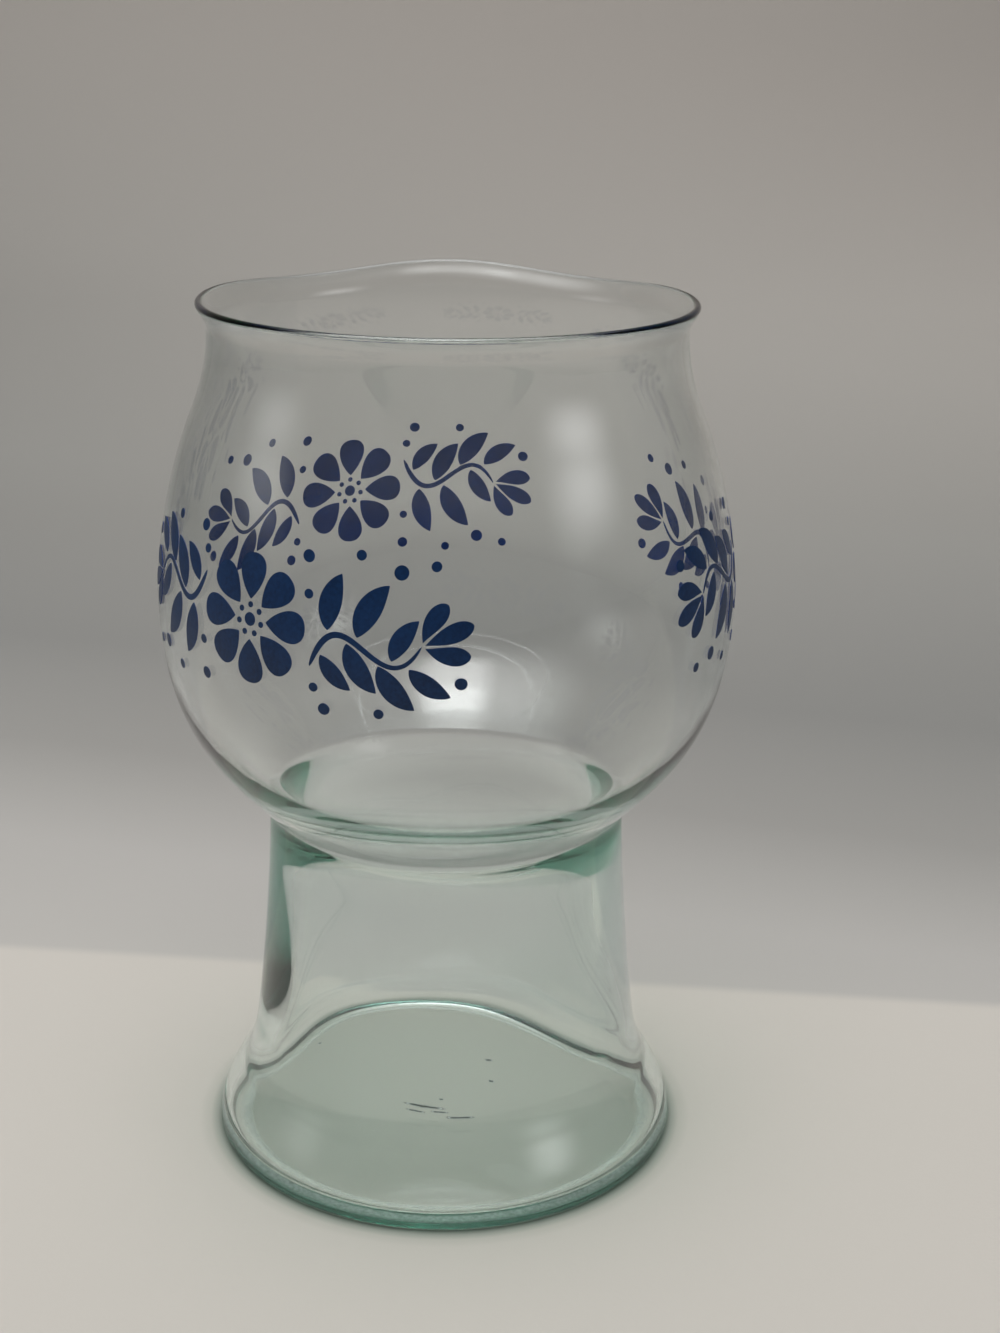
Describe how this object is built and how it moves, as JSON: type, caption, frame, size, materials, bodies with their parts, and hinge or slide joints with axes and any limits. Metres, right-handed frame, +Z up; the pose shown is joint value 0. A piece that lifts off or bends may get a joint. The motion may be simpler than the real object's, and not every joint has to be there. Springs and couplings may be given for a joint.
{
  "type": "glass vase",
  "caption": "Round open glass bowl on a narrow waist and a flared hollow foot, with sprays of blue enamel flowers on the bowl.",
  "frame": {"origin": "centre of the rest ring's plane, where the vase's axis meets the surface it stands on", "axes": "+Z up along the axis of revolution, -Y towards the front"},
  "size_m": [0.1677, 0.1678, 0.2566],
  "materials": {
    "clear_glass": "clear blown soda glass, faintly sea green where it is thick, fire polished",
    "blue_enamel": "opaque cobalt blue fired enamel, screen printed, satin gloss with fine mottling"
  },
  "bodies": {
    "root": {"glass_vessel": "clear_glass", "front_petals": "blue_enamel", "front_seeds": "blue_enamel", "front_vines": "blue_enamel", "front_leaves": "blue_enamel", "front_buds": "blue_enamel", "front_berries": "blue_enamel", "right_petals": "blue_enamel", "right_seeds": "blue_enamel", "right_vines": "blue_enamel", "right_leaves": "blue_enamel", "right_buds": "blue_enamel", "right_berries": "blue_enamel", "back_petals": "blue_enamel", "back_seeds": "blue_enamel", "back_vines": "blue_enamel", "back_leaves": "blue_enamel", "back_buds": "blue_enamel", "back_berries": "blue_enamel"}
  },
  "joints": []
}
